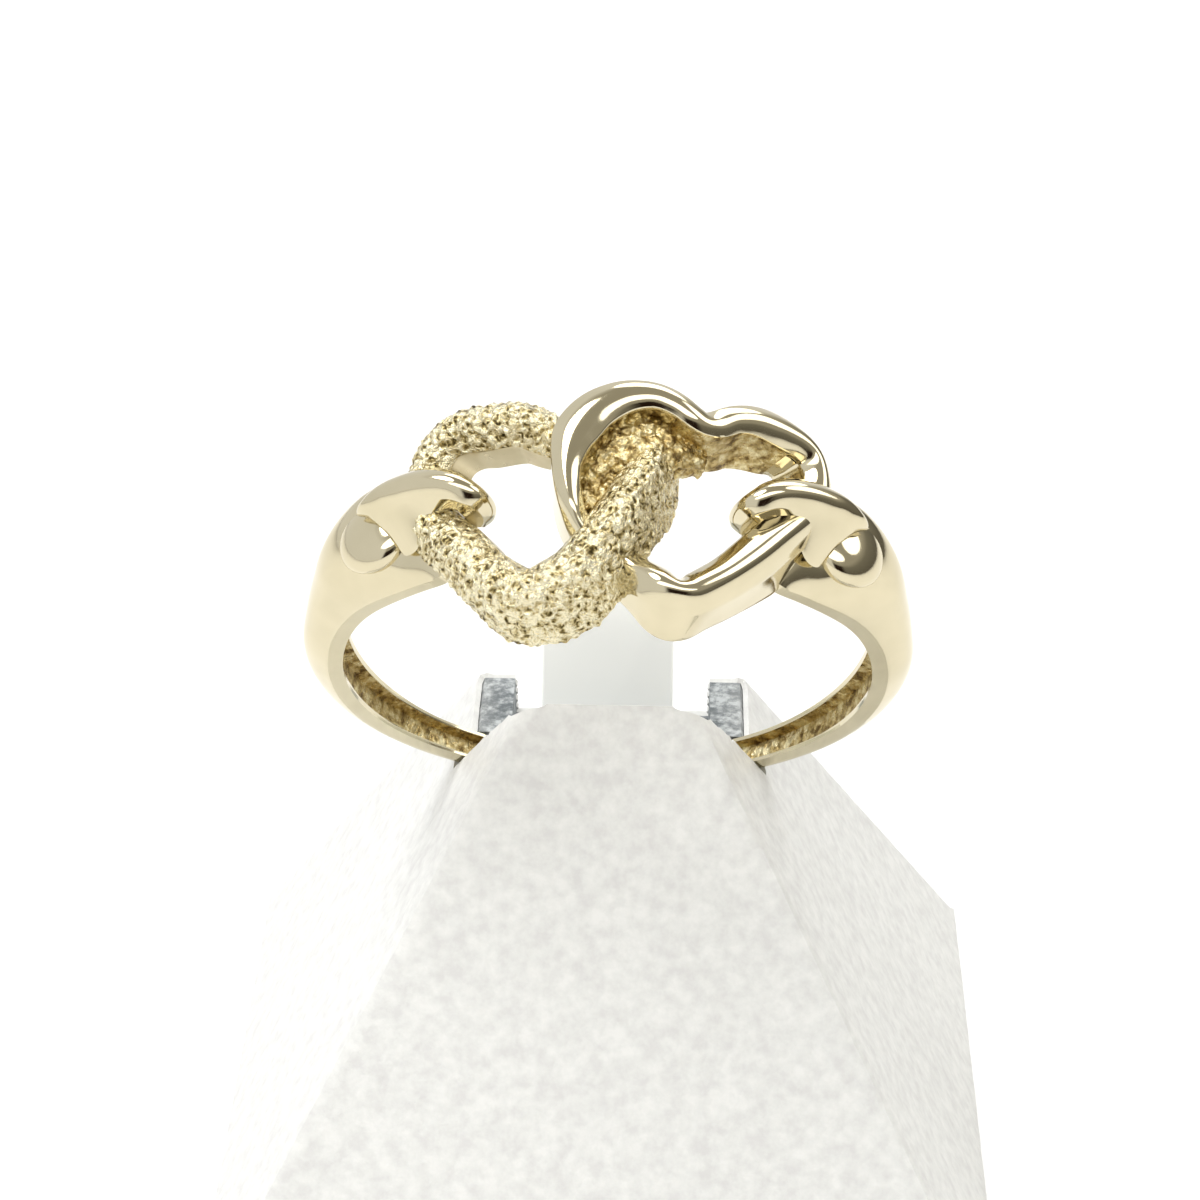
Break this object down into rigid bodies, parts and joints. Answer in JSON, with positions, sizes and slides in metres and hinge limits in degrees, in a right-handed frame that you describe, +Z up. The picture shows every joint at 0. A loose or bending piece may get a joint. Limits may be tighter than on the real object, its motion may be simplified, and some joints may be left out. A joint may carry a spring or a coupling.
{
  "type": "gold ring on display stand",
  "caption": "Gold ring whose head is two interlocked open hearts, one sparkle-textured and one polished, standing in the slot of a small pyramid-shaped display stand.",
  "frame": {"origin": "centre of the stand's square base, on the table", "axes": "+Z up; the stand's front panel and the ring's head face -Y; +X to the right as seen from the front"},
  "size_m": [0.0274, 0.0274, 0.0323],
  "materials": {
    "gold": "pale yellow gold, mirror polished, with one heart and the loop's filling sparkle-textured and a rougher cast inside of the shank",
    "core_board": "grey fibrous core, cut edge",
    "leatherette": "white fine-grained leatherette, satin",
    "tab_plastic": "milky clear plastic, glossy"
  },
  "bodies": {
    "root": {"ring": "gold", "stand_core": "core_board", "stand_cover": "leatherette", "clip_tab": "tab_plastic"}
  },
  "joints": []
}
